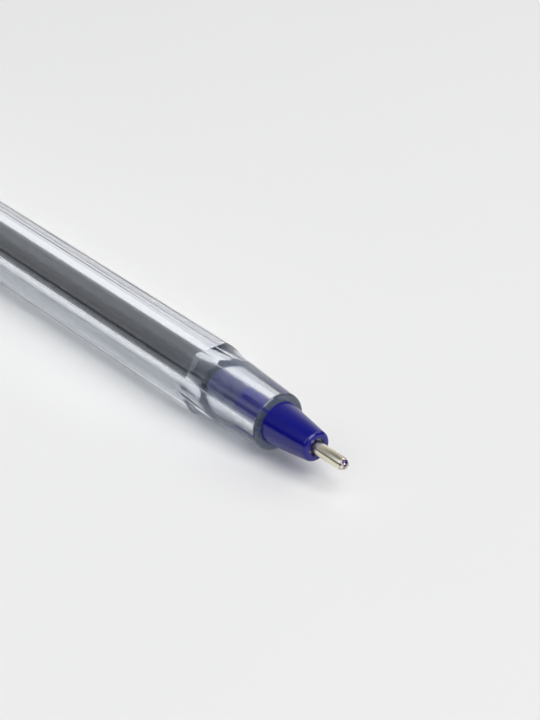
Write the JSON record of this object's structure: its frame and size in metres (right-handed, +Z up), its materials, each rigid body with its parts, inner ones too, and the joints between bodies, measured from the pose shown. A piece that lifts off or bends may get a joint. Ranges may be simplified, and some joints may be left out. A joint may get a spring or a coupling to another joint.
{
  "type": "ballpoint pen",
  "caption": "Stick ballpoint pen with a clear bowed-face hexagonal barrel, coloured nose cone and end plug, pull-out refill and a clip cap posted on the tail.",
  "frame": {"origin": "under the middle of the pen's whole length with the cap posted, level with the cap's underside", "axes": "+X along the pen towards the writing tip, +Z up through the clip, +Y to the left of the tip's direction"},
  "size_m": [0.1742, 0.0112, 0.0129],
  "materials": {
    "clear_plastic": "water-clear moulded plastic, smooth and glossy",
    "nose_plastic": "deep blue moulded plastic with a soft sheen",
    "tip_metal": "warm nickel silver, turned and polished",
    "ball_metal": "hard polished metal, wetted with violet-blue ink",
    "tube_plastic": "translucent extruded plastic with faint lengthwise streaks",
    "ink": "almost black in depth",
    "grease": "pale and clear",
    "plug_plastic": "deep blue moulded plastic with a soft sheen",
    "cap_plastic": "deep blue moulded plastic with a soft sheen"
  },
  "bodies": {
    "barrel": {"barrel": "clear_plastic", "end_plug": "plug_plastic"},
    "refill": {"nose_cone": "nose_plastic", "tip_body": "tip_metal", "ink_tube": "tube_plastic", "ink_column": "ink", "grease_follower": "grease"},
    "ball": {"ball": "ball_metal"},
    "cap": {"cap": "cap_plastic"}
  },
  "joints": [
    {"name": "cap_slide", "type": "slide", "parent": "barrel", "child": "cap", "axis": [-1, 0, 0], "range_m": [0, 0.016]},
    {"name": "refill_slide", "type": "slide", "parent": "barrel", "child": "refill", "axis": [1, 0, 0], "range_m": [0, 0.114]},
    {"name": "ball_roll", "type": "hinge", "parent": "refill", "child": "ball", "pos_m": [0.08675, 0, 0.00515], "axis": [0, 1, 0], "continuous": true}
  ]
}
